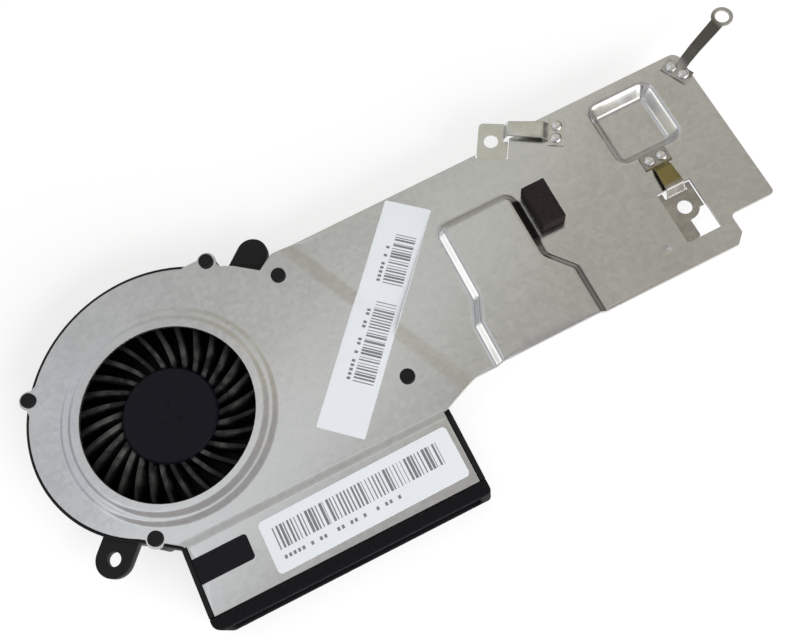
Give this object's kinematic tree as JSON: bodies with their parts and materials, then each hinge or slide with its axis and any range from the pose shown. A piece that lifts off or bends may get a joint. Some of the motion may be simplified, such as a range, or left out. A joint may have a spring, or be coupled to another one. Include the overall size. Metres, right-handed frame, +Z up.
{
  "type": "laptop fan heatsink",
  "caption": "Flat laptop cooling module: a scroll blower with a finned side outlet under a stamped aluminium plate, whose pressed pocket sits on the processor and is held by spring arms.",
  "frame": {"origin": "middle of the pocket's underside, the face that lies on the processor", "axes": "+X along the plate away from the fan, +Y away from the air outlet, +Z up through the intake"},
  "size_m": [0.1697, 0.0722, 0.0116],
  "materials": {
    "spreader_sheet": "satin rolled sheet",
    "case_plastic": "fine matt moulding",
    "impeller_plastic": "satin moulding",
    "yoke_steel": "plain drawn steel",
    "magnet_ferrite": "ground ferrite",
    "shaft_steel": "ground and polished",
    "tube_brass": "turned",
    "sleeve_bronze": "sintered",
    "thrust_plastic": "smooth",
    "washer_plastic": "smooth",
    "core_steel": "stacked sheet",
    "coil_copper": "varnished winding",
    "board_laminate": "solder mask",
    "chip_plastic": "moulded package",
    "fin_sheet": "bare sheet",
    "gasket_foam": "fine open foam",
    "arm_steel": "plated spring sheet",
    "rivet_metal": "bright formed heads",
    "label_paper": null,
    "tape_cloth": "matt woven tape",
    "block_foam": "dense foam"
  },
  "bodies": {
    "base": {"heat_spreader": "spreader_sheet", "fan_housing": "case_plastic", "bearing_tube": "tube_brass", "bearing_sleeve": "sleeve_bronze", "thrust_plate": "thrust_plastic", "retaining_washer": "washer_plastic", "stator_core": "core_steel", "stator_coils": "coil_copper", "driver_board": "board_laminate", "driver_chip": "chip_plastic", "fin_stack": "fin_sheet", "outlet_gasket": "gasket_foam", "arm_left": "arm_steel", "arm_right": "arm_steel", "arm_front": "arm_steel", "arm_rivets": "rivet_metal", "plate_label": "label_paper", "outlet_label": "label_paper", "edge_tape": "tape_cloth", "foam_block": "block_foam"},
    "rotor": {"impeller": "impeller_plastic", "rotor_yoke": "yoke_steel", "rotor_magnet": "magnet_ferrite", "rotor_shaft": "shaft_steel"}
  },
  "joints": [
    {"name": "impeller_spin", "type": "hinge", "parent": "base", "child": "rotor", "pos_m": [-0.11025, -0.01175, 0], "axis": [0, 0, -1], "continuous": true}
  ]
}
